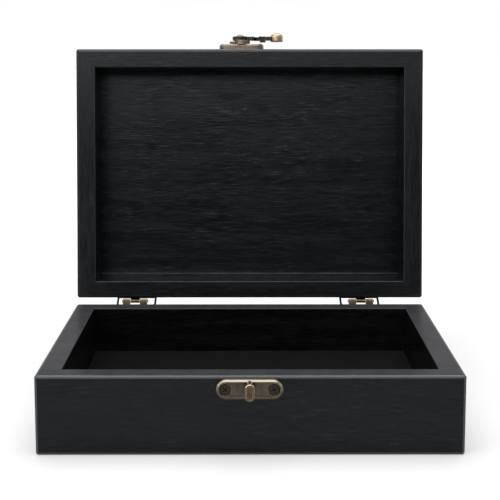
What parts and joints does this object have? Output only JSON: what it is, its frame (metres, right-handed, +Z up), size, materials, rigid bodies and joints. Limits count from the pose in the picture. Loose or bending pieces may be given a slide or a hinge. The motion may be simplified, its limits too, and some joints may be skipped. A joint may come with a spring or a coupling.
{
  "type": "keepsake box",
  "caption": "Shallow wooden keepsake box shown open: mitred tray with felt lining, deep framed lid on stay hinges, and a swinging hook latch on the front.",
  "frame": {"origin": "middle of the base's footprint, on the plane the base stands on", "axes": "+X to the right as seen from the front, +Y from the latch to the hinges, +Z up; the lid is stored fully open"},
  "size_m": [0.178, 0.1827, 0.1721],
  "materials": {
    "dark_wood": "black stain under satin lacquer, fine straight grain",
    "felt": "thin black felt",
    "antique_brass": "aged bronze-brown brass, brighter where it is rubbed",
    "dark_steel": "dark bronzed steel, satin"
  },
  "bodies": {
    "base": {"base_front": "dark_wood", "base_back": "dark_wood", "base_left": "dark_wood", "base_right": "dark_wood", "base_bottom": "dark_wood", "felt_lining": "felt", "keeper_plate": "antique_brass", "keeper_hook": "antique_brass", "keeper_screws": "dark_steel", "base_leaf_screws": "dark_steel", "left_base_leaf": "antique_brass", "right_base_leaf": "antique_brass", "left_hinge_pin": "antique_brass", "right_hinge_pin": "antique_brass"},
    "lid": {"lid_front": "dark_wood", "lid_back": "dark_wood", "lid_left": "dark_wood", "lid_right": "dark_wood", "lid_panel": "dark_wood", "left_lid_leaf": "antique_brass", "right_lid_leaf": "antique_brass", "lid_leaf_screws": "dark_steel", "latch_plate": "antique_brass", "latch_rivet": "antique_brass", "latch_screws": "dark_steel"},
    "latch_arm": {"latch_arm": "antique_brass", "latch_knob": "antique_brass"},
    "left_stop_bail": {"left_stop_bail": "dark_steel"},
    "right_stop_bail": {"right_stop_bail": "dark_steel"}
  },
  "joints": [
    {"name": "lid_hinge", "type": "hinge", "parent": "base", "child": "lid", "pos_m": [0, 0.0658, 0.0349], "axis": [1, 0, 0], "range_deg": [0, 96]},
    {"name": "latch_pivot", "type": "hinge", "parent": "lid", "child": "latch_arm", "pos_m": [-0.0048, 0.08328, 0.16358], "axis": [0, 0.1045, 0.9945], "range_deg": [-58.4, 90]},
    {"name": "left_stay_swing", "type": "hinge", "parent": "base", "child": "left_stop_bail", "pos_m": [-0.0592, 0.0655, 0.0298], "axis": [1, 0, 0], "range_deg": [0, 71]},
    {"name": "right_stay_swing", "type": "hinge", "parent": "base", "child": "right_stop_bail", "pos_m": [0.0574, 0.0655, 0.0298], "axis": [1, 0, 0], "range_deg": [0, 71]}
  ],
  "couplings": [
    {"joint": "left_stay_swing", "follows": "lid_hinge", "ratio": 0.73657},
    {"joint": "right_stay_swing", "follows": "lid_hinge", "ratio": 0.73657}
  ]
}
